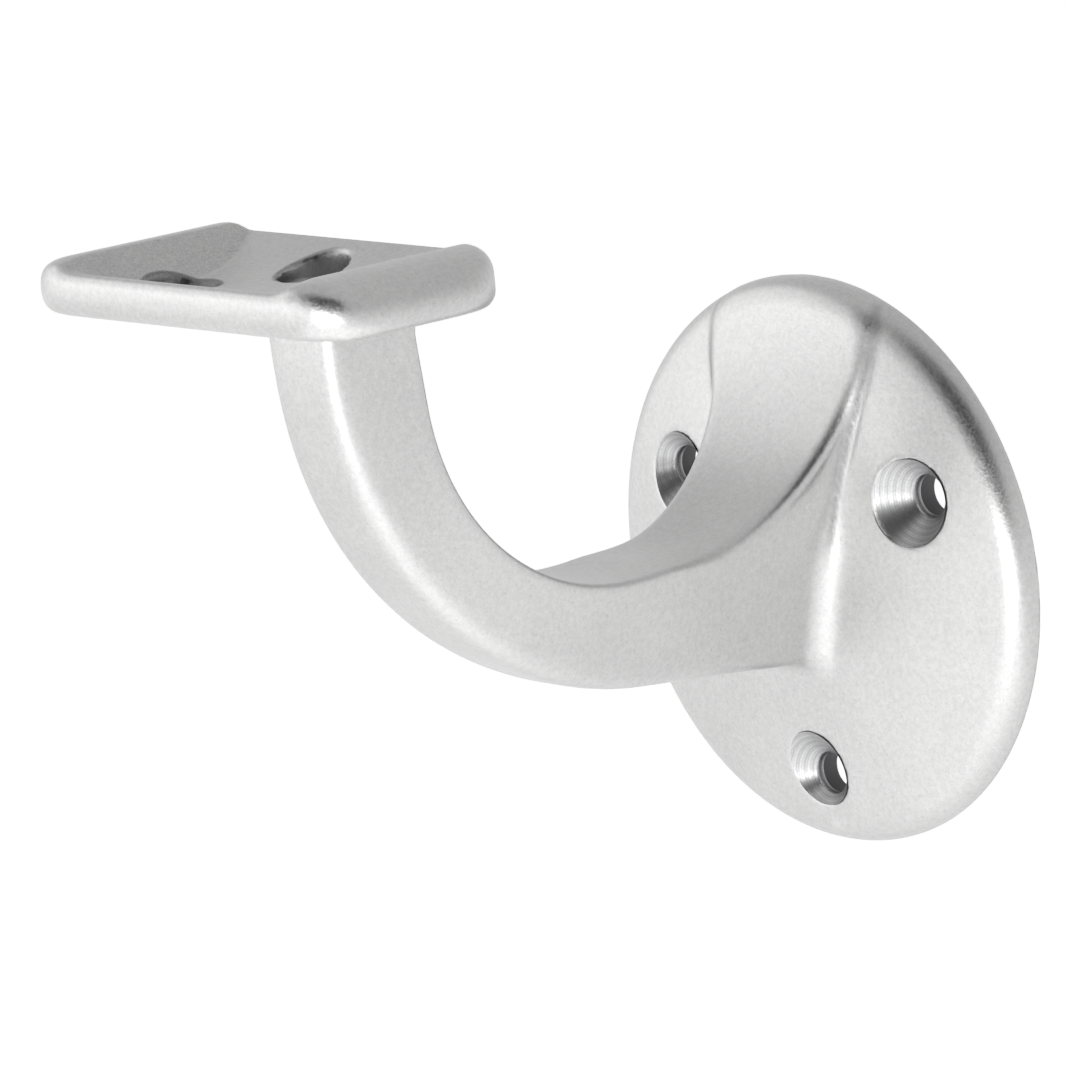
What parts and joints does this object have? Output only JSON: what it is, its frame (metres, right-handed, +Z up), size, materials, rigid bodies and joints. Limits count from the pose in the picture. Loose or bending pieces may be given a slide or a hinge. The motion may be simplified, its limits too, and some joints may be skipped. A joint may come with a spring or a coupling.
{
  "type": "handrail bracket",
  "caption": "Cast handrail bracket: a domed round wall plate with countersunk screw holes, an arm curved out and up, and a hollowed saddle under the rail.",
  "frame": {"origin": "centre of the round wall plate, on its flat back face against the wall", "axes": "+Y into the wall, +Z up to the handrail, X along the handrail; the arm reaches out along -Y"},
  "size_m": [0.07, 0.0976, 0.0874],
  "materials": {
    "aluminium": "natural aluminium, blasted to a fine satin grain"
  },
  "bodies": {
    "root": {"bracket": "aluminium"}
  },
  "joints": []
}
